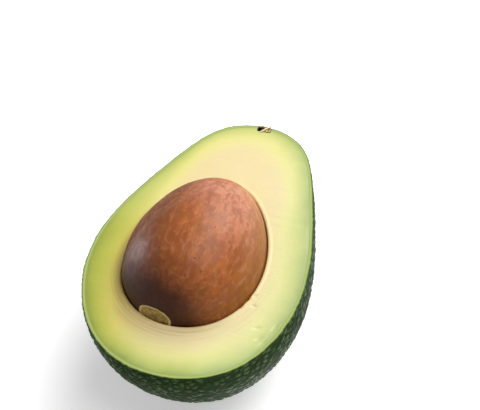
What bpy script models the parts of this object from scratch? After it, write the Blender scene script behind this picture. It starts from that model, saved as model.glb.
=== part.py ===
"""Half an avocado, cut lengthwise, lying on its round back with the pit still in its hollow.

Frame: metres, +Z up, the cut face up and level, +Y towards the stem end. The origin is under the middle
of the half, on the surface that it rests on. It comes apart into skin, flesh, pit and stem stub.
"""

import math

import bmesh
import bpy
from mathutils import Matrix, Vector

# The cut face's outline: its length, and its half-width as a sine series of the station angle, which
# runs from 0 at the blunt end to pi at the stem end. Both ends bow to the same side.
LENGTH = 0.104
HALF_WIDTH_SERIES = (0.0357, 0.0035, 0.0010, -0.0007, 0.0006)
WIDEST_AT = 0.40
BOW = 0.0009

# The round back: its depth for each unit of half-width at the widest station, how fast that grows
# towards the stem end, and how much of the back is pressed flat
BELLY_RATIO = 1.16
BELLY_LEAN = 0.15
FLAT_DEPTH = 0.0008

SKIN_THICKNESS = 0.0013
GAP = 0.0003

# The pit, its long axis along Y, and how much broader its blunt end is
PIT_LENGTH = 0.0582
PIT_WIDTH = 0.0449
PIT_HEIGHT = 0.0433
PIT_EGG = 0.17
PIT_CENTRE_X = -0.0012
PIT_CENTRE_Y = -0.0043
PIT_CENTRE_BELOW_CUT = 0.0017

# The half button of old stem left in the notch at the stem end, and its narrower outer end
STUB_RADIUS = 0.0024
STUB_END_RADIUS = 0.0019
STUB_LENGTH = 0.0030
STUB_BELOW_CUT = 0.0005

# How far the cutters run past what they cut
CUTTER_REACH = 0.002

STATIONS = 32
SECTION_STEPS = 20
PIT_RINGS = 18
PIT_SIDES = 28
STUB_SIDES = 20
SHARP_ANGLE = math.radians(40)


def half_width(angle):
    return sum(size * math.sin((n + 1) * angle) for n, size in enumerate(HALF_WIDTH_SERIES))


def half_width_slope(angle):
    return sum(
        size * (n + 1) * math.cos((n + 1) * angle) for n, size in enumerate(HALF_WIDTH_SERIES)
    )


def along(angle):
    """The station's place along the fruit, as a share of its length from the blunt end."""
    return (1 - math.cos(angle)) / 2


def belly_ratio(angle):
    return BELLY_RATIO * (1 + BELLY_LEAN * (along(angle) - WIDEST_AT))


def depth(angle):
    return belly_ratio(angle) * half_width(angle)


def depth_slope(angle):
    ratio_slope = BELLY_RATIO * BELLY_LEAN * math.sin(angle) / 2
    return ratio_slope * half_width(angle) + belly_ratio(angle) * half_width_slope(angle)


def midline(angle):
    """The sideways place of the station's middle, which is zero at the widest station."""
    return BOW * (math.cos(2 * math.pi * along(angle)) - math.cos(2 * math.pi * WIDEST_AT))


def midline_slope(angle):
    return -BOW * math.pi * math.sin(2 * math.pi * along(angle)) * math.sin(angle)


CUT_Z = max(depth(math.pi * step / 1000) for step in range(1000)) - FLAT_DEPTH
STEM_END_X = midline(math.pi)


def surface_point(angle, turn, inset):
    """A point of the fruit's surface moved straight inwards. turn runs from 0 at +X, under, to pi at -X."""
    sideways = math.cos(turn)
    down = math.sin(turn)
    point = Vector(
        (
            midline(angle) + half_width(angle) * sideways,
            -LENGTH / 2 * math.cos(angle),
            CUT_Z - depth(angle) * down,
        )
    )
    along_fruit = Vector(
        (
            midline_slope(angle) + half_width_slope(angle) * sideways,
            LENGTH / 2 * math.sin(angle),
            -depth_slope(angle) * down,
        )
    )
    around_fruit = Vector((-down, 0, -belly_ratio(angle) * sideways))
    outwards = around_fruit.cross(along_fruit).normalized()
    return point - inset * outwards


def material(name, color, roughness):
    """A Principled BSDF of one colour. color is linear RGB."""
    made = bpy.data.materials.new(name)
    made.use_nodes = True
    shader = made.node_tree.nodes["Principled BSDF"]
    shader.inputs["Base Color"].default_value = (*color, 1)
    shader.inputs["Roughness"].default_value = roughness
    shader.inputs["Metallic"].default_value = 0
    made.diffuse_color = (*color, 1)
    return made


def add_object(name, mesh_builder, mat=None):
    """An object from a bmesh. One without a material is a cutter, which isn't part of the fruit."""
    bmesh.ops.recalc_face_normals(mesh_builder, faces=mesh_builder.faces)
    mesh = bpy.data.meshes.new(name)
    mesh_builder.to_mesh(mesh)
    mesh_builder.free()
    mesh.shade_smooth()
    mesh.set_sharp_from_angle(angle=SHARP_ANGLE)
    made = bpy.data.objects.new(name, mesh)
    bpy.context.scene.collection.objects.link(made)
    if mat:
        mesh.materials.append(mat)
    else:
        made.hide_render = True
        made.display_type = "WIRE"
    return made


def cut(target, cutter):
    boolean = target.modifiers.new("Cut by " + cutter.name, "BOOLEAN")
    boolean.operation = "DIFFERENCE"
    boolean.solver = "EXACT"
    boolean.object = cutter


def half_fruit(inset, rise=0.0):
    """A closed bmesh of the half, inset from its outer surface. Its flat top is rise above the cut."""
    shape = bmesh.new()
    turns = [math.pi * step / SECTION_STEPS for step in range(SECTION_STEPS + 1)]
    angles = [math.pi * step / STATIONS for step in range(1, STATIONS)]
    rows = [
        [shape.verts.new(surface_point(angle, turn, inset)) for turn in turns] for angle in angles
    ]
    blunt = shape.verts.new(surface_point(0, 0, inset))
    stem = shape.verts.new(surface_point(math.pi, 0, inset))
    for step in range(SECTION_STEPS):
        shape.faces.new((blunt, rows[0][step], rows[0][step + 1]))
        shape.faces.new((stem, rows[-1][step + 1], rows[-1][step]))
        for row, following in zip(rows, rows[1:]):
            shape.faces.new((row[step], following[step], following[step + 1], row[step + 1]))
    rim = [blunt, *(row[0] for row in rows), stem, *(row[-1] for row in reversed(rows))]
    top = shape.faces.new(rim)
    if rise:
        raised = bmesh.ops.extrude_discrete_faces(shape, faces=[top])
        bmesh.ops.translate(shape, verts=raised["faces"][0].verts, vec=(0, 0, rise))
    cut_off(shape, inset, Vector((0, 0, -1)))
    return shape


def cut_off(shape, height, side):
    """Removes what lies beyond a level plane, on its given side, and closes the shape with one flat face."""
    sliced = bmesh.ops.bisect_plane(
        shape,
        geom=[*shape.verts, *shape.edges, *shape.faces],
        plane_co=(0, 0, height),
        plane_no=side,
        clear_outer=True,
    )
    border = [item for item in sliced["geom_cut"] if isinstance(item, bmesh.types.BMEdge)]
    bmesh.ops.contextual_create(shape, geom=border)


def pit_shape(margin=0.0):
    """A closed bmesh of the egg-shaped seed, blunt end towards -Y, grown by margin all over."""
    shape = bmesh.new()
    rings = []
    for ring in range(1, PIT_RINGS):
        angle = math.pi * ring / PIT_RINGS
        y = -(PIT_LENGTH / 2 + margin) * math.cos(angle)
        swell = math.sin(angle) * (1 + PIT_EGG * math.cos(angle))
        rings.append(
            [
                shape.verts.new(
                    (
                        (PIT_WIDTH / 2 + margin) * swell * math.cos(2 * math.pi * side / PIT_SIDES),
                        y,
                        (PIT_HEIGHT / 2 + margin) * swell * math.sin(2 * math.pi * side / PIT_SIDES),
                    )
                )
                for side in range(PIT_SIDES)
            ]
        )
    blunt = shape.verts.new((0, -PIT_LENGTH / 2 - margin, 0))
    tip = shape.verts.new((0, PIT_LENGTH / 2 + margin, 0))
    for side in range(PIT_SIDES):
        beside = (side + 1) % PIT_SIDES
        shape.faces.new((blunt, rings[0][side], rings[0][beside]))
        shape.faces.new((tip, rings[-1][beside], rings[-1][side]))
        for ring, following in zip(rings, rings[1:]):
            shape.faces.new((ring[side], following[side], following[beside], ring[beside]))
    shape.transform(Matrix.Translation((PIT_CENTRE_X, PIT_CENTRE_Y, CUT_Z - PIT_CENTRE_BELOW_CUT)))
    return shape


def peg(radius, end_radius, start_y, end_y):
    """A closed bmesh of a round peg along Y, on the cut plane at the stem's place."""
    shape = bmesh.new()
    bmesh.ops.create_cone(
        shape,
        cap_ends=True,
        segments=STUB_SIDES,
        radius1=radius,
        radius2=end_radius,
        depth=end_y - start_y,
        matrix=Matrix.Translation((STEM_END_X, (start_y + end_y) / 2, CUT_Z))
        @ Matrix.Rotation(-math.pi / 2, 4, "X"),
    )
    return shape


def stub_shape():
    """A closed bmesh of the stub: the part of a peg, as long as the notch, that lies below the cut."""
    shape = peg(STUB_RADIUS, STUB_END_RADIUS, LENGTH / 2 - STUB_LENGTH, LENGTH / 2)
    cut_off(shape, CUT_Z - STUB_BELOW_CUT, Vector((0, 0, 1)))
    return shape


def notch_shape():
    """A closed bmesh of the notch's space, which has a gap all round the stub and runs out past its end."""
    radius = STUB_RADIUS + GAP
    return peg(radius, radius, LENGTH / 2 - STUB_LENGTH - GAP, LENGTH / 2 + CUTTER_REACH)


def build():
    for old in list(bpy.data.objects):
        bpy.data.objects.remove(old, do_unlink=True)
    rind = material("avocado_skin", (0.036, 0.058, 0.016), 0.45)
    pulp = material("avocado_flesh", (0.80, 0.72, 0.33), 0.5)
    seed = material("avocado_pit", (0.35, 0.135, 0.055), 0.4)
    wood = material("avocado_stem", (0.42, 0.29, 0.13), 0.8)

    skin = add_object("skin", half_fruit(0.0), rind)
    flesh = add_object("flesh", half_fruit(SKIN_THICKNESS + GAP), pulp)
    add_object("pit", pit_shape(), seed)
    add_object("stem_stub", stub_shape(), wood)

    notch = add_object("notch_cutter", notch_shape())
    cut(skin, add_object("skin_cutter", half_fruit(SKIN_THICKNESS, rise=CUTTER_REACH)))
    cut(skin, notch)
    cut(flesh, add_object("pit_cutter", pit_shape(GAP)))
    cut(flesh, notch)


build()
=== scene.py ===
"""Half an avocado with its pit: pebbled skin, moist flesh, a veined seed and the old stem's stub."""

import math

import bpy
import numpy as np
from mathutils import Matrix, Vector, noise


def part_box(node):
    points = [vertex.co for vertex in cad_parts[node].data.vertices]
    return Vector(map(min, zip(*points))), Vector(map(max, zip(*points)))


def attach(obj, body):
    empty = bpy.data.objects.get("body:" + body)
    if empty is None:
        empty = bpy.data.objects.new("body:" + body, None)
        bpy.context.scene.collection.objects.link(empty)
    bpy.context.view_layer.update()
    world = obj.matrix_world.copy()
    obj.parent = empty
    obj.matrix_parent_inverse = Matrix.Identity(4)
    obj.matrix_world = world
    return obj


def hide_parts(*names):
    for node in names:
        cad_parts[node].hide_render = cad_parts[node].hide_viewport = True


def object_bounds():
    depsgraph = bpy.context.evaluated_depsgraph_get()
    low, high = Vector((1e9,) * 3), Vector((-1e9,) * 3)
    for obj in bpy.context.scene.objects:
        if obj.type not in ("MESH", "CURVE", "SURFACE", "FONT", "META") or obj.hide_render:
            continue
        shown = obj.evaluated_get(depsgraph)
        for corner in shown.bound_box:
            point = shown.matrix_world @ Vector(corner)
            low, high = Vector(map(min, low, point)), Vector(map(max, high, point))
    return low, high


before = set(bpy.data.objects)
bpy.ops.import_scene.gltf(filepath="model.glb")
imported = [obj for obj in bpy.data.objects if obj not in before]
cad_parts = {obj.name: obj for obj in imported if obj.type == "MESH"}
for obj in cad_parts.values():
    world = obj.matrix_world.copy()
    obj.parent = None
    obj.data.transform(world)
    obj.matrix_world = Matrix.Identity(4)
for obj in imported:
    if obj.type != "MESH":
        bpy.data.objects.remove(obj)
CAD_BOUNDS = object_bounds()

MM = 0.001

# noise_vector takes its offsets from this seed. Left unset, they follow the clock, and the pebbles and
# the pit's veins then lie elsewhere in every run.
PATTERN_SEED = 1
noise.seed_set(PATTERN_SEED)

# The fruit's own shape, as the CAD has it: the outline is a sine series of the station angle, which runs
# from 0 at the blunt end to pi at the stem end, and the sections under it are half ellipses.
LOW, HIGH = CAD_BOUNDS
LENGTH = HIGH.y - LOW.y
HALF_WIDTH = (HIGH.x - LOW.x) / 2
CUT_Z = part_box("flesh")[1].z
OUTLINE_SERIES = (0.982, 0.0963, 0.0275, -0.0193, 0.0165)
WIDEST_AT = 0.40
BOW = 0.9 * MM
BELLY_RATIO = 1.16
BELLY_LEAN = 0.15

# The middle of the flat spot that the half rests on
FLAT_CENTRE = np.array((0.0, -8.0 * MM))

# How far the back swells out past those sections under the rim, at its most
BULGE = 1.1 * MM

# The peel, and how far the flesh keeps from its hidden inner side and tucks under its cut edge
SKIN_THICKNESS = 1.3 * MM
SKIN_EDGE_RADIUS = 0.22 * MM
FLESH_GAP = 0.12 * MM
UNDERLAP = 0.15 * MM
PEBBLE_SIZE = 2.1 * MM
PEBBLE_HEIGHT = 0.55 * MM
LUMP_HEIGHT = 0.16 * MM

# The seed: an egg shape, the relief on it, the oval scar's place and size as seen from the blunt end,
# and the direction towards which its coat is darkened by painted shade
PIT_LOW, PIT_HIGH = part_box("pit")
PIT_CENTRE = (PIT_LOW + PIT_HIGH) / 2
PIT_EGG = 0.17
WIDEST_SWELL = max(math.sin(a) * (1 + PIT_EGG * math.cos(a)) for a in np.linspace(0, math.pi, 500))
PIT_HALF = np.array((PIT_HIGH - PIT_LOW) / 2) / (WIDEST_SWELL, 1, WIDEST_SWELL)
PIT_GAP = 0.12 * MM
PIT_SWELLING = 0.20 * MM
VEIN_HEIGHT = 0.055 * MM
SCAR_CENTRE = (-3.9 * MM, 2.6 * MM)
SCAR_RADII = (5.5 * MM, 4.2 * MM)
SCAR_RIM_HEIGHT = 0.16 * MM
SCAR_DEPTH = 0.22 * MM
SHADED_SIDE = np.array((-0.31, -0.95, 0.05))

# The remnant of the stem, and the notch round it
STUB_LOW, STUB_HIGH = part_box("stem_stub")
STUB_RADIUS = (STUB_HIGH.x - STUB_LOW.x) / 2
NOTCH_CENTRE_X = (STUB_LOW.x + STUB_HIGH.x) / 2
NOTCH_HALF_WIDTH = STUB_RADIUS + 0.15 * MM
STUB_LENGTH = 2.0 * MM
NOTCH_LENGTH = STUB_LENGTH + 0.2 * MM
NOTCH_DEPTH = 2.4 * MM

# Small nicks in the cut face: place, direction in degrees, length and width, all lengths in millimetres
NICKS = (
    (30.2, -31.6, 55, 1.6, 0.45),
    (28.4, -30.6, 50, 1.2, 0.42),
    (31.9, -25.4, 70, 1.4, 0.45),
    (26.6, -27.0, 20, 1.1, 0.42),
    (20.6, -17.6, 65, 0.9, 0.45),
    (22.0, -15.8, 40, 0.8, 0.42),
    (19.4, -21.0, 75, 1.0, 0.42),
    (23.0, -19.6, 10, 0.7, 0.45),
    (-20.5, 14.5, 35, 1.2, 0.42),
)
NICK_DEPTH = 0.34 * MM
SCRAPE_DEPTH = 0.07 * MM

# The raised lip round the pit's hollow, and how far its edge is rounded off
LIP_HEIGHT = 0.14 * MM
LIP_ROUNDING = 0.35 * MM

# How finely the meshes are divided. The rim's points are closer together within NOTCH_REACH of the stem.
RIM_STEPS = 560
NOTCH_STEPS = 64
NOTCH_REACH = 6 * MM
BACK_RINGS = 128
HIDDEN_RINGS = 14
FACE_RINGS = 62
HOLLOW_RINGS = 18
PIT_SIDES, PIT_RINGS = 240, 190
STUB_SIDES, STUB_RINGS = 72, 40
FIBRE_SIDES, FIBRE_RINGS = 20, 44
SHARP_ANGLE = math.radians(55)

# The colour where the flesh meets the peel, that of the notch's inside, a brown darkened by painted
# shade, and how many millimetres inwards from the rim the flesh goes on changing colour
RIM_GREEN = (156, 171, 93)
NOTCH_SHADE_BROWN = (30, 22, 10)
TONE_REACH = 14.0

# The studio: the floor glows a little so that shadows on it stay light
FLOOR_GLOW = 0.35
FLOOR_REACH = 4.0
WORLD_STRENGTH = 0.26
CAMERA_AZIMUTH = 27.4
CAMERA_ELEVATION = 50.5
CAMERA_ROLL = 9.5
CAMERA_LENS = 110
CAMERA_DISTANCE = 0.4812
CAMERA_TARGET = Vector((5.0 * MM, 17.3 * MM, CUT_Z))
LIGHT_DISTANCE = 1.3


def srgb(red, green, blue):
    """A linear colour from the usual 0 to 255 values."""
    return tuple(
        v / 12.92 if v <= 0.04045 else ((v + 0.055) / 1.055) ** 2.4
        for v in (red / 255, green / 255, blue / 255)
    )


def smooth(edge0, edge1, value):
    t = np.clip((value - edge0) / (edge1 - edge0), 0, 1)
    return t * t * (3 - 2 * t)


# ---------------------------------------------------------------- the fruit's shape


def station(y):
    return np.arccos(np.clip(-2 * np.asarray(y) / LENGTH, -1, 1))


def half_width(angle):
    return HALF_WIDTH * sum(k * np.sin((n + 1) * angle) for n, k in enumerate(OUTLINE_SERIES))


def along(angle):
    return (1 - np.cos(angle)) / 2


def midline(angle):
    return BOW * (np.cos(2 * np.pi * along(angle)) - math.cos(2 * math.pi * WIDEST_AT))


def belly_depth(angle):
    return BELLY_RATIO * (1 + BELLY_LEAN * (along(angle) - WIDEST_AT)) * half_width(angle)


def back_height(xy):
    """The height of the round back under points of the cut face."""
    angle = station(xy[..., 1])
    across = (xy[..., 0] - midline(angle)) / np.maximum(half_width(angle), 1e-6)
    return CUT_Z - belly_depth(angle) * np.sqrt(np.clip(1 - across**2, 0, 1))


def outline():
    """Points round the cut face from the stem end: close together at the notch, even elsewhere."""
    angle = np.linspace(math.pi, 0, 4000)
    right = np.stack([midline(angle) + half_width(angle), -LENGTH / 2 * np.cos(angle)], 1)
    left = np.stack([midline(angle) - half_width(angle), -LENGTH / 2 * np.cos(angle)], 1)[::-1]
    loop = np.concatenate([right, left[1:]])
    arc = np.concatenate([[0], np.cumsum(np.linalg.norm(np.diff(loop, axis=0), axis=1))])
    steps = RIM_STEPS - NOTCH_STEPS
    near = np.linspace(0, NOTCH_REACH, NOTCH_STEPS // 2, endpoint=False)
    far = np.linspace(NOTCH_REACH, arc[-1] - NOTCH_REACH, steps, endpoint=False)
    places = np.concatenate([near, far, arc[-1] - NOTCH_REACH + near])
    return np.stack([np.interp(places, arc, loop[:, i]) for i in (0, 1)], 1)


def grid_normals(grid):
    """Outward normals of a grid of rings that run from the rim down to the bottom."""
    down = np.gradient(grid, axis=0)
    around = (np.roll(grid, -1, 1) - np.roll(grid, 1, 1)) / 2
    normals = np.cross(down, around)
    normals /= np.maximum(np.linalg.norm(normals, axis=2, keepdims=True), 1e-12)
    outwards = grid[0] - np.array([*FLAT_CENTRE, CUT_Z])
    if (normals[0] * outwards).sum() < 0:
        normals = -normals
    normals[0, :, 2] = 0
    normals[0] /= np.linalg.norm(normals[0], axis=1, keepdims=True)
    return normals


def bowl(rim, angles):
    """Rings of the round back. An angle of 0 is the rim, and pi/2 the middle of the bottom."""
    ahead = np.roll(rim, -1, 0) - np.roll(rim, 1, 0)
    outwards = np.stack([ahead[:, 1], -ahead[:, 0]], 1) / np.linalg.norm(ahead, axis=1, keepdims=True)
    outwards *= np.sign((outwards * (rim - FLAT_CENTRE)).sum(1, keepdims=True))
    bulge = BULGE * np.interp(outwards[:, 0], (-1, 0, 1), (0.6, 0.5, 1.0))
    rings = []
    for angle in angles:
        xy = FLAT_CENTRE + math.cos(angle) * (rim - FLAT_CENTRE)
        z = back_height(xy) if angle > 0 else np.full(len(rim), CUT_Z)
        swell = smooth(0, 0.30, angle) * (1 - smooth(0.5, 1.2, angle))
        xy = xy + outwards * (swell * bulge)[:, None]
        rings.append(np.concatenate([xy, z[:, None]], 1))
    return np.array(rings)


def over_points(points, function):
    flat = points.reshape(-1, 3).tolist()
    return np.array([function(Vector(p)) for p in flat]).reshape(points.shape[:-1])


def pebble(place):
    """0 in the creases between the skin's pebbles and 1 on their tops."""
    q = place / PEBBLE_SIZE
    q = q + 0.32 * noise.noise_vector(0.9 * q)
    near, next_near = noise.voronoi(q)[0][:2]
    edge = min(1.0, (next_near - near) / 0.5)
    return edge * (2 - edge) * (1 - 0.5 * min(1.0, near / 0.75) ** 2)


def lump(place):
    """Slow swellings of the skin, from about -1 to 1."""
    return noise.noise(place / (11 * MM)) + 0.5 * noise.noise(place / (4.5 * MM))


def notch_floor(xy):
    """How far the stem's notch goes below the cut, from 0 outside it. Its outer wall is left standing."""
    across = (xy[..., 0] - NOTCH_CENTRE_X) / NOTCH_HALF_WIDTH
    inner_end = LENGTH / 2 - NOTCH_LENGTH
    walls = np.sqrt(np.clip(1 - across**2, 0, 1))
    inside = smooth(inner_end - 0.3 * MM, inner_end + 0.5 * MM, xy[..., 1])
    outer_wall = smooth(LENGTH / 2 - 0.9 * MM, LENGTH / 2 - 0.4 * MM, xy[..., 1])
    return walls * inside * (NOTCH_DEPTH * (1 - outer_wall) + 0.4 * MM * outer_wall)


def notch_shade(points):
    """The notch's depth in millimetres at points on its own floor and walls, and 0 at all others."""
    floor = notch_floor(points)
    on_floor = points[..., 2] > CUT_Z - floor - 0.5 * MM
    return floor * on_floor / MM


# ---------------------------------------------------------------- meshes


def ring_mesh(name, rings, attributes, first_pole=None, last_pole=None):
    """A closed mesh from rings with the same number of points, each end closed by a fan to its pole."""
    rings = [np.asarray(r, float) for r in rings]
    count = len(rings[0])
    points = np.concatenate([*rings, [first_pole], [last_pole]])
    step = np.arange(count)
    beside = (step + 1) % count
    starts = np.arange(len(rings) - 1) * count
    quads = [
        np.stack([at + step, at + beside, at + count + beside, at + count + step], 1) for at in starts
    ]
    start, end = len(points) - 2, len(points) - 1
    last = (len(rings) - 1) * count
    fans = np.concatenate(
        [
            np.stack([np.full(count, start), beside, step], 1),
            np.stack([np.full(count, end), last + step, last + beside], 1),
        ]
    )
    mesh = bpy.data.meshes.new(name)
    mesh.from_pydata(points.tolist(), [], [*np.concatenate(quads).tolist(), *fans.tolist()])
    mesh.shade_smooth()
    mesh.set_sharp_from_angle(angle=SHARP_ANGLE)
    for key, values in attributes.items():
        values = np.concatenate([np.ravel(v) for v in values])
        values = np.append(values, (values[0], values[-1])).astype(np.float32)
        mesh.attributes.new(key, "FLOAT", "POINT").data.foreach_set("value", values)
    if signed_volume(points, quads, fans) < 0:
        mesh.flip_normals()
    mesh.validate()
    made = bpy.data.objects.new(name, mesh)
    bpy.context.scene.collection.objects.link(made)
    return made


def signed_volume(points, quads, fans):
    quads = np.concatenate(quads)
    triangles = np.concatenate([quads[:, :3], quads[:, [0, 2, 3]], fans])
    a, b, c = (points[triangles[:, i]] for i in range(3))
    return np.einsum("ij,ij->i", a, np.cross(b, c)).sum()


def add_piece(piece, node, material):
    piece.data.materials.append(material)
    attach(piece, "root")
    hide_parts(node)


def make_skin(rim, material):
    near_rim = np.linspace(0, 0.10, 10, endpoint=False)
    angles = np.concatenate([near_rim, np.linspace(0.10, math.pi / 2, BACK_RINGS)])
    smooth_back = bowl(rim, angles[:-1])
    normals = grid_normals(smooth_back)
    tops = over_points(smooth_back, pebble)
    swell = over_points(smooth_back, lump)
    relief = PEBBLE_HEIGHT * (0.8 + 0.35 * swell)
    relief[0] *= 0.45
    height = relief * (tops - 0.6) + LUMP_HEIGHT * swell
    back = smooth_back + normals * height[..., None]
    back[..., 2] = np.minimum(back[..., 2], CUT_Z - notch_floor(back))
    back[..., 2] = np.maximum(back[..., 2], 0)

    # The cut edge: a small rounding at the outside, then the flat band of cut peel
    edge_normal = normals[0]
    outer = back[0].copy()
    rings, depths, domes = [], [], []
    for inset in (1.0, 0.75, 0.5, 0.25):
        depth = SKIN_THICKNESS - (SKIN_THICKNESS - SKIN_EDGE_RADIUS) * (1 - inset)
        rings.append(band_ring(outer, smooth_back[0], edge_normal, depth, 0))
        depths.append(np.full(len(rim), depth))
        domes.append(tops[0])
    for turn in (90, 55, 25):
        down = SKIN_EDGE_RADIUS * (1 - math.sin(math.radians(turn)))
        depth = SKIN_EDGE_RADIUS * (1 - math.cos(math.radians(turn)))
        rings.append(band_ring(outer, smooth_back[0], edge_normal, depth, down))
        depths.append(np.full(len(rim), depth))
        domes.append(tops[0])
    first_outer = next(i for i, a in enumerate(angles) if belly_drop(a) > 1.3 * SKIN_EDGE_RADIUS)
    for i in range(first_outer, len(back)):
        rings.append(back[i])
        depths.append(np.zeros(len(rim)))
        domes.append(tops[i])

    # The hidden inner side, from the bottom back up to the cut
    hidden = bowl(rim, np.linspace(0, math.pi / 2, HIDDEN_RINGS)[1:-1])
    inner = hidden - grid_normals(hidden) * SKIN_THICKNESS
    inner[..., 2] = np.maximum(inner[..., 2], SKIN_THICKNESS)
    inner = np.concatenate([rings[0][None] - (0, 0, 1.5 * MM), inner])
    inner[..., 2] = np.minimum(inner[..., 2], CUT_Z - 0.4 * MM - notch_floor(inner))
    rings = [*inner[::-1], *rings]
    depths = [np.full(len(rim), SKIN_THICKNESS)] * len(inner) + depths
    domes = [tops[0]] * len(inner) + domes

    skin = ring_mesh(
        "avocado_skin",
        rings,
        {
            "peel_depth": [d / MM for d in depths],
            "dome": domes,
            "notch": [notch_shade(r) for r in rings],
        },
        first_pole=(*FLAT_CENTRE, SKIN_THICKNESS),
        last_pole=(*FLAT_CENTRE, 0),
    )
    add_piece(skin, "skin", material)


def belly_drop(angle):
    """About how far below the cut the rings at this angle lie."""
    return HALF_WIDTH * math.sin(angle)


def band_ring(outer, smooth_outer, edge_normal, depth, down):
    """A ring of the cut edge. It follows the pebbles outside and the smooth outline at its inner side."""
    share = depth / SKIN_THICKNESS
    ring = outer * (1 - share) + smooth_outer * share - edge_normal * depth
    ring[:, 2] = CUT_Z - down - notch_floor(ring)
    return ring


def pit_swell(y):
    """The pit's half-width at a place along it, measured from its middle, as a share of PIT_HALF[0]."""
    cosine = np.clip(-y / PIT_HALF[1], -1, 1)
    return np.sqrt(1 - cosine**2) * (1 + PIT_EGG * cosine)


def hollow_edge(rim):
    """For each rim point, the point of the hollow's edge that it faces."""
    y = -PIT_HALF[1] * np.cos(np.linspace(0, math.pi, 721))
    x = PIT_HALF[0] * pit_swell(y)
    loop = np.stack([np.concatenate([x, -x[::-1]]), np.concatenate([y, y[::-1]])], 1)
    reach = np.linalg.norm(loop, axis=1) + PIT_GAP
    bearing = np.arctan2(loop[:, 1], loop[:, 0])
    order = np.argsort(bearing)
    middle = np.array(PIT_CENTRE)[:2]
    facing = np.arctan2(*(rim - middle).T[::-1])
    far = np.interp(facing, bearing[order], reach[order], period=2 * math.pi)
    return middle + np.stack([far * np.cos(facing), far * np.sin(facing)], 1)


def hollow_height(xy):
    """The height of the hollow's wall under points of the cut face."""
    local = xy - np.array(PIT_CENTRE)[:2]
    swell = np.maximum(pit_swell(local[..., 1] * PIT_HALF[1] / (PIT_HALF[1] + PIT_GAP)), 1e-6)
    across = local[..., 0] / ((PIT_HALF[0] + PIT_GAP) * swell)
    drop = (PIT_HALF[2] + PIT_GAP) * swell * np.sqrt(np.clip(1 - across**2, 0, 1))
    return PIT_CENTRE.z - drop


def make_flesh(rim, material):
    smooth_back = bowl(rim, np.linspace(0, math.pi / 2, HIDDEN_RINGS)[:-1])
    normals = grid_normals(smooth_back)
    outer = (smooth_back[0] - normals[0] * SKIN_THICKNESS)[:, :2]
    inner = hollow_edge(outer)
    width = np.linalg.norm(outer - inner, axis=1)

    tuck = smooth_back[0] - normals[0] * (SKIN_THICKNESS - UNDERLAP)
    tuck[:, 2] -= UNDERLAP + notch_floor(tuck)
    none = np.zeros(len(rim))
    rings, from_rim, from_pit_edge, scrapes = [tuck], [none], [width], [none]
    share = np.linspace(0, 1, FACE_RINGS)
    share = 0.45 * share + 0.55 * (0.5 - 0.5 * np.cos(math.pi * share))
    for s in share:
        xy = outer + (inner - outer) * s
        place = np.concatenate([xy, np.full((len(xy), 1), CUT_Z)], 1)
        rim_distance, pit_distance = s * width, (1 - s) * width
        wave = over_points(place, knife_wave)
        lip = LIP_HEIGHT * np.exp(-(((pit_distance - 0.8 * MM) / (0.5 * MM)) ** 2))
        rounding = LIP_ROUNDING * np.clip(1 - pit_distance / (0.4 * MM), 0, 1) ** 2
        calm = smooth(0, 1.2 * MM, rim_distance)
        scrape = knife_arcs(place, pit_distance)
        nick = nicks(place) * calm
        place[:, 2] += wave * calm - nick - SCRAPE_DEPTH * scrape + lip - rounding - notch_floor(place)
        scrapes.append(scrape)
        rings.append(place)
        from_rim.append(rim_distance)
        from_pit_edge.append(pit_distance)

    # The hollow's wall, down to its bottom
    middle = np.array(PIT_CENTRE)[:2]
    for angle in np.linspace(0, math.pi / 2, HOLLOW_RINGS)[1:-1]:
        xy = middle + math.cos(angle) * (inner - middle)
        z = np.minimum(hollow_height(xy), CUT_Z - 1.0 * MM)
        rings.append(np.concatenate([xy, z[:, None]], 1))
        from_rim.append(width)
        from_pit_edge.append(none)
        scrapes.append(none)

    # The hidden outside, against the peel
    hidden = smooth_back[1:] - normals[1:] * (SKIN_THICKNESS + FLESH_GAP)
    hidden[..., 2] = np.clip(
        hidden[..., 2], SKIN_THICKNESS + FLESH_GAP, CUT_Z - 0.3 * MM - notch_floor(hidden)
    )
    rings = [*hidden[::-1], *rings]
    from_rim = [none] * len(hidden) + from_rim
    from_pit_edge = [width] * len(hidden) + from_pit_edge
    scrapes = [none] * len(hidden) + scrapes

    flesh = ring_mesh(
        "avocado_flesh",
        rings,
        {
            "from_rim": [d / MM for d in from_rim],
            "from_pit": [d / MM for d in from_pit_edge],
            "notch": [notch_shade(r) for r in rings],
            "scrape": scrapes,
        },
        first_pole=(*FLAT_CENTRE, SKIN_THICKNESS + FLESH_GAP),
        last_pole=(*middle, PIT_CENTRE.z - PIT_HALF[2] - PIT_GAP),
    )
    add_piece(flesh, "flesh", material)


def knife_wave(place):
    """The cut face's slight waves in metres: slow ones, and shallow drag lines across the fruit."""
    slow = noise.noise(place / (16 * MM))
    drag = noise.noise(Vector((place.x / (30 * MM), place.y / (1.6 * MM) + 0.3 * slow, 4.0)))
    grain = noise.noise(place / (0.9 * MM))
    return (0.10 * slow + 0.022 * drag + 0.008 * grain) * MM


def knife_arcs(place, pit_distance):
    """The depth, from 0 to 1, of the scrapes in the cut face that follow the pit's edge."""
    middle = np.array(PIT_CENTRE)[:2]
    bearing = np.arctan2(*(place[:, :2] - middle).T[::-1])
    below = smooth(0.0, 0.9, -np.sin(bearing)) * smooth(8 * MM, 2 * MM, pit_distance)
    spots = np.stack([pit_distance / (0.6 * MM), 1.8 * bearing, np.full(len(bearing), 7.0)], 1)
    return below * np.clip(2.2 * over_points(spots, noise.noise), 0, 1)


def nicks(place):
    """The depth of the small nicks at points of the cut face."""
    depth = np.zeros(len(place))
    for x, y, degrees, length, width in NICKS:
        turn = math.radians(degrees)
        dx, dy = place[:, 0] / MM - x, place[:, 1] / MM - y
        lengthways = (math.cos(turn) * dx + math.sin(turn) * dy) / length
        across = (math.cos(turn) * dy - math.sin(turn) * dx) / width
        depth = np.maximum(depth, NICK_DEPTH * np.exp(-(lengthways**2) - across**2))
    return depth


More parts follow.
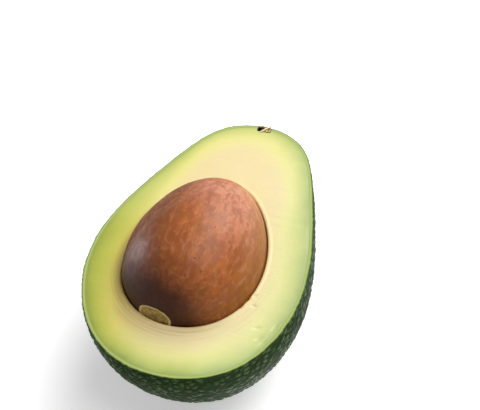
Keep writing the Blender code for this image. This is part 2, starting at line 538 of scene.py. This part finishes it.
def make_pit(material):
    rings = []
    turns = np.linspace(0, 2 * math.pi, PIT_SIDES, endpoint=False)
    for angle in np.linspace(0, math.pi, PIT_RINGS)[1:-1]:
        y = -PIT_HALF[1] * math.cos(angle)
        swell = pit_swell(np.array(y))
        x = PIT_HALF[0] * swell * np.cos(turns)
        z = PIT_HALF[2] * swell * np.sin(turns)
        rings.append(np.stack([x, np.full(PIT_SIDES, y), z], 1))
    grid = np.array(rings)
    normals = grid / PIT_HALF**2
    normals /= np.linalg.norm(normals, axis=2, keepdims=True)
    across = (grid[..., 0] - SCAR_CENTRE[0]) / SCAR_RADII[0]
    upwards = (grid[..., 2] - SCAR_CENTRE[1]) / SCAR_RADII[1]
    ragged = over_points(grid, lambda p: noise.noise(p / (2.2 * MM)))
    scar_radius = np.hypot(across, upwards) + 0.07 * ragged + 2.0 * (grid[..., 1] > 0)
    veined = over_points(grid, vein)
    shaded = normals @ SHADED_SIDE
    slow = over_points(grid, pit_lump)
    off_scar = smooth(0.9, 1.15, scar_radius)
    height = PIT_SWELLING * slow + VEIN_HEIGHT * veined * off_scar
    height += SCAR_RIM_HEIGHT * np.exp(-(((scar_radius - 1.08) / 0.10) ** 2))
    height -= SCAR_DEPTH * (1 - smooth(0.80, 1.05, scar_radius))
    height += 0.05 * MM * ragged * (1 - off_scar)
    grid = grid + normals * (height - 0.1 * MM)[..., None]
    pit = ring_mesh(
        "avocado_pit",
        list(grid + np.array(PIT_CENTRE)),
        {
            "scar": list(scar_radius),
            "vein": list(veined),
            "shaded": list(shaded),
            "side": list(normals[..., 0]),
            "tipward": list(normals[..., 1]),
        },
        first_pole=PIT_CENTRE - Vector((0, PIT_HALF[1] + 0.3 * MM, 0)),
        last_pole=PIT_CENTRE + Vector((0, PIT_HALF[1], 0)),
    )
    add_piece(pit, "pit", material)


def pit_lump(place):
    """Slow swellings of the seed, from about -1 to 1."""
    return noise.noise(place / (13 * MM)) + 0.4 * noise.noise(place / (5 * MM))


def vein(place):
    """The seed coat's net of fine ridges, stretched along the seed, from 0 between them to 1 on top."""
    q = Vector((place.x / (3.0 * MM), place.y / (5.2 * MM), place.z / (3.0 * MM)))
    q = q + 0.6 * noise.noise_vector(1.1 * q)
    near, next_near = noise.voronoi(q)[0][:2]
    return max(0.0, 1 - (next_near - near) / 0.16)


def make_stub(material):
    """The half button of old stem: a woody half plug, torn on top, with a slanting crevice at -X."""
    turns = np.linspace(0, 2 * math.pi, STUB_SIDES, endpoint=False)
    start, end = LENGTH / 2 - STUB_LENGTH, LENGTH / 2 + 0.15 * MM
    rings = []
    for share in np.linspace(0, 1, STUB_RINGS):
        ends = 1 - 0.10 * share**2 - 0.5 * max(0.0, (share - 0.93) / 0.07) ** 2
        ends -= 0.12 * max(0.0, (0.25 - share) / 0.25) ** 2
        radius = STUB_RADIUS * ends
        y = start + share * (end - start)
        x, z = radius * np.cos(turns), radius * np.sin(turns)
        rings.append(np.stack([x, np.full(STUB_SIDES, y), z], 1))
    grid = np.array(rings)
    rough = over_points(grid, wood_grain)
    slant = grid[..., 0] - 1.1 * (grid[..., 1] - start - 0.9 * MM)
    across = (slant + 1.2 * MM) / (1.6 * MM)
    along_stub = (grid[..., 1] - start - 0.90 * MM) / (0.80 * MM)
    crevice = 2.2 * MM * np.exp(-(across**4) - along_stub**4)
    top = -0.10 * MM - crevice + 0.14 * MM * rough
    grid[..., 2] = np.minimum(grid[..., 2], top)
    grid[..., 0] += NOTCH_CENTRE_X
    grid[..., 2] += CUT_Z
    stub = ring_mesh(
        "avocado_stem_stub",
        list(grid),
        {"grain": list(rough), "hollow": list(crevice / MM)},
        first_pole=(NOTCH_CENTRE_X, start, CUT_Z - STUB_RADIUS / 2),
        last_pole=(NOTCH_CENTRE_X, end, CUT_Z - STUB_RADIUS / 2),
    )
    add_piece(stub, "stem_stub", material)


def wood_grain(place):
    """The stub's roughness, drawn out along it, from about -1 to 1."""
    return noise.noise(Vector((place.x / (0.6 * MM), place.y / (1.8 * MM), place.z / (0.6 * MM))))


def make_fibre(material):
    """A pale strand of flesh, torn loose, that lies across the notch."""
    start = np.array((NOTCH_CENTRE_X - 1.5 * MM, LENGTH / 2 - 3.2 * MM, CUT_Z - 0.1 * MM))
    end = np.array((NOTCH_CENTRE_X + 2.9 * MM, LENGTH / 2 + 0.6 * MM, CUT_Z + 0.3 * MM))
    turns = np.linspace(0, 2 * math.pi, FIBRE_SIDES, endpoint=False)
    forwards = (end - start) / np.linalg.norm(end - start)
    sideways = np.cross(forwards, (0, 0, 1))
    upwards = np.array((0, 0, 1))
    rings = []
    for share in np.linspace(0, 1, FIBRE_RINGS):
        middle = start + share * (end - start) + 0.35 * MM * math.sin(math.pi * share) * upwards
        middle = middle + 0.12 * MM * math.sin(7 * share) * sideways
        taper = math.sqrt(max(0.0, math.sin(math.pi * (0.04 + 0.92 * share))))
        width = (0.46 - 0.22 * share) * MM * taper
        ring = np.outer(width * np.cos(turns), sideways)
        ring = ring + np.outer(0.5 * width * np.sin(turns), upwards)
        rings.append(middle + ring)
    grid = np.array(rings)
    rough = over_points(grid, lambda p: noise.noise(p / (0.5 * MM)))
    grid[..., 2] += 0.08 * MM * rough
    fibre = ring_mesh(
        "avocado_stem_fibre", list(grid), {"grain": list(rough)}, first_pole=start, last_pole=end
    )
    add_piece(fibre, "stem_stub", material)


# ---------------------------------------------------------------- materials


def new_material(name):
    made = bpy.data.materials.new(name)
    made.use_nodes = True
    return made, made.node_tree, made.node_tree.nodes["Principled BSDF"]


def put(tree, socket, value):
    if isinstance(value, bpy.types.NodeSocket):
        tree.links.new(value, socket)
    elif isinstance(value, tuple) and len(value) == 3 and socket.type == "RGBA":
        socket.default_value = (*value, 1)
    else:
        socket.default_value = value


def node(tree, kind, settings=None, **inputs):
    made = tree.nodes.new("ShaderNode" + kind)
    for key, value in (settings or {}).items():
        setattr(made, key, value)
    for key, value in inputs.items():
        put(tree, made.inputs[key.replace("_", " ")], value)
    return made


def attribute(tree, name):
    return node(tree, "Attribute", {"attribute_name": name}).outputs["Fac"]


def math_node(tree, operation, *values):
    made = tree.nodes.new("ShaderNodeMath")
    made.operation = operation
    for socket, value in zip(made.inputs, values):
        put(tree, socket, value)
    return made.outputs[0]


def spread(tree, value, low, high, out_low=0.0, out_high=1.0):
    made = node(tree, "MapRange", {"interpolation_type": "SMOOTHSTEP"}, Value=value)
    made.inputs["From Min"].default_value = low
    made.inputs["From Max"].default_value = high
    made.inputs["To Min"].default_value = out_low
    made.inputs["To Max"].default_value = out_high
    return made.outputs["Result"]


def blend_color(tree, factor, first, second, mode="MIX"):
    made = tree.nodes.new("ShaderNodeMix")
    made.data_type = "RGBA"
    made.blend_type = mode
    put(tree, made.inputs[0], factor)
    put(tree, made.inputs[6], first)
    put(tree, made.inputs[7], second)
    return made.outputs[2]


def ramp(tree, factor, stops):
    made = node(tree, "ValToRGB", Fac=factor)
    elements = made.color_ramp.elements
    while len(elements) < len(stops):
        elements.new(0.5)
    for element, (place, color) in zip(elements, stops):
        element.position = place
        element.color = (*color, 1)
    return made.outputs["Color"]


def places(tree, stretch=(1, 1, 1)):
    """Positions on the object in metres, stretched."""
    coordinates = node(tree, "TexCoord").outputs["Object"]
    mapping = node(tree, "Mapping", Vector=coordinates)
    mapping.inputs["Scale"].default_value = stretch
    return mapping.outputs["Vector"]


def grain(tree, where, size, detail=3.0, roughness=0.55):
    made = node(tree, "TexNoise", Vector=where, Scale=1 / size, Detail=detail, Roughness=roughness)
    return made.outputs["Fac"]


def cells(tree, where, size, feature="F1"):
    made = node(tree, "TexVoronoi", {"feature": feature}, Vector=where, Scale=1 / size)
    return made.outputs["Distance"]


def bump(tree, height, distance, strength=1.0, normal=None):
    made = node(tree, "Bump", Height=height, Distance=distance, Strength=strength)
    if normal:
        tree.links.new(normal, made.inputs["Normal"])
    return made.outputs["Normal"]


def skin_material():
    made, tree, shader = new_material("pebbled_skin")
    where = places(tree)
    dome = attribute(tree, "dome")
    fine = grain(tree, where, 0.6 * MM)
    patches = grain(tree, where, 14 * MM, detail=2.0)
    tops = blend_color(tree, spread(tree, patches, 0.35, 0.65), srgb(24, 50, 3), srgb(38, 66, 7))
    lit = spread(tree, math_node(tree, "ADD", dome, math_node(tree, "MULTIPLY", fine, 0.5)), 0.35, 1.3)
    green = blend_color(tree, lit, srgb(14, 32, 2), tops)
    dots = spread(tree, cells(tree, where, 3.1 * MM), 0.08, 0.13, 1.0, 0.0)
    green = blend_color(tree, math_node(tree, "MULTIPLY", dots, 0.22), green, srgb(110, 132, 64))
    place = node(tree, "SeparateXYZ", Vector=where)
    side, height = place.outputs["X"], place.outputs["Z"]
    depth = math_node(tree, "DIVIDE", attribute(tree, "peel_depth"), SKIN_THICKNESS / MM)
    uneven = math_node(tree, "MULTIPLY", math_node(tree, "SUBTRACT", fine, 0.5), 0.12)
    depth = math_node(tree, "ADD", depth, uneven)
    cut = ramp(
        tree,
        depth,
        [
            (0.0, srgb(34, 54, 14)),
            (0.14, srgb(84, 106, 44)),
            (0.30, srgb(150, 168, 96)),
            (0.55, srgb(176, 190, 116)),
            (0.82, srgb(164, 181, 104)),
            (1.0, srgb(*RIM_GREEN)),
        ],
    )
    is_cut = spread(tree, attribute(tree, "peel_depth"), 0.01, 0.10)
    green = blend_color(tree, is_cut, green, cut)
    # Painted shade: the notch's inside goes darker with its depth, over its own brown
    notched = spread(tree, attribute(tree, "notch"), 0.15, 0.6)
    put(tree, shader.inputs["Base Color"], blend_color(tree, notched, green, srgb(*NOTCH_SHADE_BROWN)))
    shader.inputs["Specular Tint"].default_value = (0.55, 1.0, 0.35, 1)
    shader.inputs["Specular IOR Level"].default_value = 0.26
    rough = spread(tree, dome, 0.30, 0.95, 0.72, 0.36)
    under_rim = spread(tree, height, CUT_Z - 10 * MM, CUT_Z - 3 * MM, 0.0, 0.16)
    rough = math_node(tree, "ADD", rough, under_rim)
    rough = math_node(tree, "ADD", rough, spread(tree, side, 6 * MM, 24 * MM, 0.0, -0.14))
    put(tree, shader.inputs["Roughness"], rough)
    relief = math_node(tree, "ADD", math_node(tree, "MULTIPLY", grain(tree, where, 1.1 * MM), 0.7), fine)
    put(tree, shader.inputs["Normal"], bump(tree, relief, 0.10 * MM, 0.8))
    return made


def flesh_material():
    made, tree, shader = new_material("moist_flesh")
    where = places(tree)
    slow = grain(tree, where, 9 * MM, detail=2.0)
    fine = grain(tree, where, 0.8 * MM)
    shift = math_node(tree, "MULTIPLY", math_node(tree, "SUBTRACT", slow, 0.5), 3.0)
    inwards = math_node(tree, "ADD", attribute(tree, "from_rim"), shift)
    place = node(tree, "SeparateXYZ", Vector=where)
    side = place.outputs["X"]
    inwards = math_node(tree, "MULTIPLY", inwards, spread(tree, side, -30 * MM, -14 * MM, 0.52, 1.0))
    inwards = math_node(tree, "MULTIPLY", inwards, spread(tree, side, 12 * MM, 26 * MM, 1.0, 0.92))
    upper_left = math_node(tree, "SUBTRACT", place.outputs["Y"], side)
    inwards = math_node(tree, "ADD", inwards, spread(tree, upper_left, 25 * MM, 46 * MM, 0.0, 1.9))
    tone = ramp(
        tree,
        math_node(tree, "DIVIDE", inwards, TONE_REACH),
        [
            (0.0, srgb(*RIM_GREEN)),
            (0.107, srgb(181, 194, 106)),
            (0.207, srgb(199, 206, 118)),
            (0.336, srgb(217, 217, 134)),
            (0.48, srgb(229, 225, 147)),
            (0.657, srgb(234, 224, 158)),
            (0.836, srgb(235, 220, 164)),
            (1.0, srgb(234, 218, 166)),
        ],
    )
    near_pit = spread(tree, attribute(tree, "from_pit"), 0.0, 3.6, 1.0, 0.0)
    peach = math_node(tree, "MULTIPLY", near_pit, 0.6)
    tone = blend_color(tree, peach, tone, srgb(242, 214, 154))
    blunt_half = spread(tree, place.outputs["Y"], -6 * MM, 18 * MM, 1.0, 0.25)
    # Painted sheen: the flesh is paler towards +X
    tone = blend_color(tree, spread(tree, side, 4 * MM, 26 * MM, 0.0, 0.22), tone, srgb(226, 236, 198))
    # Painted shade: the left of the blunt half is darker and more yellow
    left_shade = math_node(tree, "MULTIPLY", spread(tree, side, -24 * MM, 0.0, 1.0, 0.0), blunt_half)
    tone = blend_color(tree, left_shade, tone, (0.96, 0.89, 0.48), "MULTIPLY")
    beside_pit = spread(tree, attribute(tree, "from_pit"), 0.2, 4.0, 1.0, 0.0)
    shadowed = math_node(tree, "MULTIPLY", beside_pit, spread(tree, side, -25 * MM, -13 * MM, 0.6, 0.0))
    tone = blend_color(tree, shadowed, tone, srgb(134, 118, 56))
    streaks = grain(tree, places(tree, (0.12, 1.0, 0.2)), 0.9 * MM, detail=4.0)
    tone = blend_color(tree, spread(tree, streaks, 0.55, 0.8, 0.0, 0.16), tone, srgb(214, 196, 120))
    scraped = math_node(tree, "MULTIPLY", attribute(tree, "scrape"), 0.5)
    tone = blend_color(tree, scraped, tone, srgb(212, 176, 112))
    # Painted shade: the notch's inside goes darker with its depth, over its own brown
    notched = spread(tree, attribute(tree, "notch"), 0.15, 0.6)
    put(tree, shader.inputs["Base Color"], blend_color(tree, notched, tone, srgb(*NOTCH_SHADE_BROWN)))
    put(tree, shader.inputs["Roughness"], spread(tree, fine, 0.3, 0.7, 0.36, 0.52))
    shader.inputs["Subsurface Weight"].default_value = 0.30
    shader.inputs["Subsurface Radius"].default_value = (1.0, 0.8, 0.30)
    shader.inputs["Subsurface Scale"].default_value = 2.5 * MM
    put(tree, shader.inputs["Normal"], bump(tree, math_node(tree, "ADD", fine, streaks), 0.05 * MM, 0.5))
    return made


def pit_material():
    made, tree, shader = new_material("seed_coat")
    where = places(tree)
    long_ways = places(tree, (1.0, 0.3, 1.0))
    slow = grain(tree, where, 12 * MM, detail=2.0)
    mottle = grain(tree, long_ways, 1.9 * MM, detail=5.0, roughness=0.65)
    brown = blend_color(tree, spread(tree, slow, 0.35, 0.65), srgb(160, 87, 41), srgb(176, 99, 45))
    shaded = attribute(tree, "shaded")
    # Painted light: the side turned away from the painted shade is pinker and lighter
    brown = blend_color(tree, spread(tree, shaded, -0.40, 0.10, 0.7, 0.0), brown, srgb(204, 136, 108))
    side = attribute(tree, "side")
    brown = blend_color(tree, spread(tree, side, 0.60, 0.95, 0.0, 0.9), brown, srgb(152, 88, 14))
    # Painted shade: darker brown towards -X
    brown = blend_color(tree, spread(tree, side, -0.55, 0.05, 0.9, 0.0), brown, srgb(104, 60, 28))
    brown = blend_color(tree, spread(tree, mottle, 0.40, 0.60, 0.5, 0.0), brown, srgb(126, 70, 40))
    pale = spread(tree, mottle, 0.4, 0.6, 0.06, 0.30)
    veins = math_node(tree, "MULTIPLY", attribute(tree, "vein"), pale)
    brown = blend_color(tree, veins, brown, srgb(204, 146, 108))
    specks = spread(tree, cells(tree, where, 3.6 * MM), 0.07, 0.12, 0.6, 0.0)
    brown = blend_color(tree, specks, brown, srgb(90, 46, 26))
    # Painted shade: the coat goes nearly black towards SHADED_SIDE, with a ragged edge
    edge = math_node(tree, "MULTIPLY", math_node(tree, "SUBTRACT", slow, 0.5), 0.5)
    shade = spread(tree, math_node(tree, "ADD", shaded, edge), 0.30, 0.88, 0.0, 0.92)
    brown = blend_color(tree, shade, brown, srgb(50, 18, 12))
    fine = grain(tree, where, 0.5 * MM, detail=4.0)
    husk = blend_color(tree, spread(tree, fine, 0.4, 0.65), srgb(146, 118, 60), srgb(192, 166, 100))
    stain = spread(tree, grain(tree, where, 2.6 * MM, detail=2.0), 0.52, 0.66, 0.0, 0.6)
    husk = blend_color(tree, stain, husk, srgb(84, 62, 30))
    scar = attribute(tree, "scar")
    husk = blend_color(tree, spread(tree, scar, 0.84, 0.98, 0.0, 0.8), husk, srgb(226, 206, 150))
    color = blend_color(tree, spread(tree, scar, 1.02, 1.08), husk, brown)
    put(tree, shader.inputs["Base Color"], color)
    far_side = math_node(tree, "SUBTRACT", attribute(tree, "tipward"), side)
    rough = spread(tree, mottle, 0.3, 0.7, 0.30, 0.42)
    rough = math_node(tree, "ADD", rough, spread(tree, far_side, 0.36, 0.58, 0.0, 0.45))
    rough = math_node(tree, "ADD", rough, spread(tree, shaded, 0.45, 0.85, 0.0, 0.25))
    put(tree, shader.inputs["Roughness"], rough)
    shader.inputs["Specular IOR Level"].default_value = 0.26
    put(tree, shader.inputs["Normal"], bump(tree, math_node(tree, "ADD", mottle, fine), 0.06 * MM, 0.6))
    return made


def stub_material():
    made, tree, shader = new_material("stem_wood")
    along_stem = places(tree, (1.0, 0.25, 1.0))
    fibres = grain(tree, along_stem, 0.45 * MM, detail=4.0)
    rough = attribute(tree, "grain")
    tan = blend_color(tree, spread(tree, fibres, 0.35, 0.65), srgb(190, 160, 98), srgb(238, 220, 166))
    wood = blend_color(tree, spread(tree, rough, -0.35, 0.1), srgb(132, 96, 48), tan)
    # Painted shade: the crevice goes nearly black with its depth
    crevice_shade = spread(tree, attribute(tree, "hollow"), 0.15, 0.9)
    put(tree, shader.inputs["Base Color"], blend_color(tree, crevice_shade, wood, srgb(9, 6, 3)))
    put(tree, shader.inputs["Roughness"], spread(tree, fibres, 0.3, 0.7, 0.65, 0.85))
    put(tree, shader.inputs["Normal"], bump(tree, fibres, 0.08 * MM, 0.8))
    return made


def fibre_material():
    made, tree, shader = new_material("torn_fibre")
    strands = grain(tree, places(tree), 0.35 * MM, detail=4.0)
    cream = blend_color(tree, spread(tree, strands, 0.35, 0.65), srgb(226, 196, 134), srgb(250, 232, 190))
    put(tree, shader.inputs["Base Color"], cream)
    put(tree, shader.inputs["Roughness"], spread(tree, attribute(tree, "grain"), -0.4, 0.4, 0.45, 0.6))
    put(tree, shader.inputs["Normal"], bump(tree, strands, 0.05 * MM, 0.6))
    return made


def floor_material():
    made, tree, shader = new_material("studio_paper")
    soft = grain(tree, places(tree), 60 * MM, detail=2.0)
    paper = blend_color(tree, soft, srgb(246, 246, 245), srgb(250, 250, 250))
    put(tree, shader.inputs["Base Color"], paper)
    shader.inputs["Roughness"].default_value = 0.9
    shader.inputs["Emission Color"].default_value = (1.0, 1.0, 1.0, 1)
    shader.inputs["Emission Strength"].default_value = FLOOR_GLOW
    return made


# ---------------------------------------------------------------- studio


def direction(azimuth, elevation):
    a, e = math.radians(azimuth), math.radians(elevation)
    return Vector((math.sin(a) * math.cos(e), -math.cos(a) * math.cos(e), math.sin(e)))


def add_light(name, azimuth, elevation, size, watts, color=(1, 1, 1)):
    lamp = bpy.data.lights.new(name, "AREA")
    lamp.shape = "DISK"
    lamp.size = size
    lamp.energy = watts
    lamp.color = color
    made = bpy.data.objects.new(name, lamp)
    towards = direction(azimuth, elevation)
    made.location = Vector((0, 0, CUT_Z)) + LIGHT_DISTANCE * towards
    made.rotation_mode = "QUATERNION"
    made.rotation_quaternion = towards.to_track_quat("Z", "Y")
    made.visible_camera = False
    bpy.context.scene.collection.objects.link(made)


def make_floor():
    mesh = bpy.data.meshes.new("floor")
    reach = FLOOR_REACH
    corners = [(-reach, -reach, 0), (reach, -reach, 0), (reach, reach, 0), (-reach, reach, 0)]
    mesh.from_pydata(corners, [], [(0, 1, 2, 3)])
    floor = bpy.data.objects.new("floor", mesh)
    bpy.context.scene.collection.objects.link(floor)
    mesh.materials.append(floor_material())


def make_world():
    world = bpy.data.worlds.new("studio")
    world.use_nodes = True
    background = world.node_tree.nodes["Background"]
    background.inputs["Color"].default_value = (1.0, 1.0, 1.0, 1)
    background.inputs["Strength"].default_value = WORLD_STRENGTH
    bpy.context.scene.world = world


def make_camera():
    """Looks down on the cut face from in front and to the right, rolled a little."""
    azimuth, roll = math.radians(CAMERA_AZIMUTH), math.radians(CAMERA_ROLL)
    back = direction(CAMERA_AZIMUTH, CAMERA_ELEVATION)
    level = Vector((math.cos(azimuth), math.sin(azimuth), 0))
    up = back.cross(level)
    right = math.cos(roll) * level - math.sin(roll) * up
    up = back.cross(right)
    data = bpy.data.cameras.new("camera")
    data.lens = CAMERA_LENS
    data.sensor_width = 36
    data.clip_start = 0.01
    camera = bpy.data.objects.new("camera", data)
    axes = Matrix((right, up, back)).transposed().to_4x4()
    camera.matrix_world = Matrix.Translation(CAMERA_TARGET + CAMERA_DISTANCE * back) @ axes
    bpy.context.scene.collection.objects.link(camera)
    bpy.context.scene.camera = camera


rim_points = outline()
make_camera()
make_skin(rim_points, skin_material())
make_flesh(rim_points, flesh_material())
make_pit(pit_material())
make_stub(stub_material())
make_fibre(fibre_material())
make_floor()
make_world()
add_light("key", azimuth=160, elevation=38, size=0.95, watts=12.0)
add_light("overhead", azimuth=108, elevation=62, size=1.2, watts=10.5)
add_light("left_fill", azimuth=-94, elevation=7, size=0.5, watts=6.0, color=(0.95, 0.88, 1.0))
bpy.context.scene.view_settings.view_transform = "Standard"
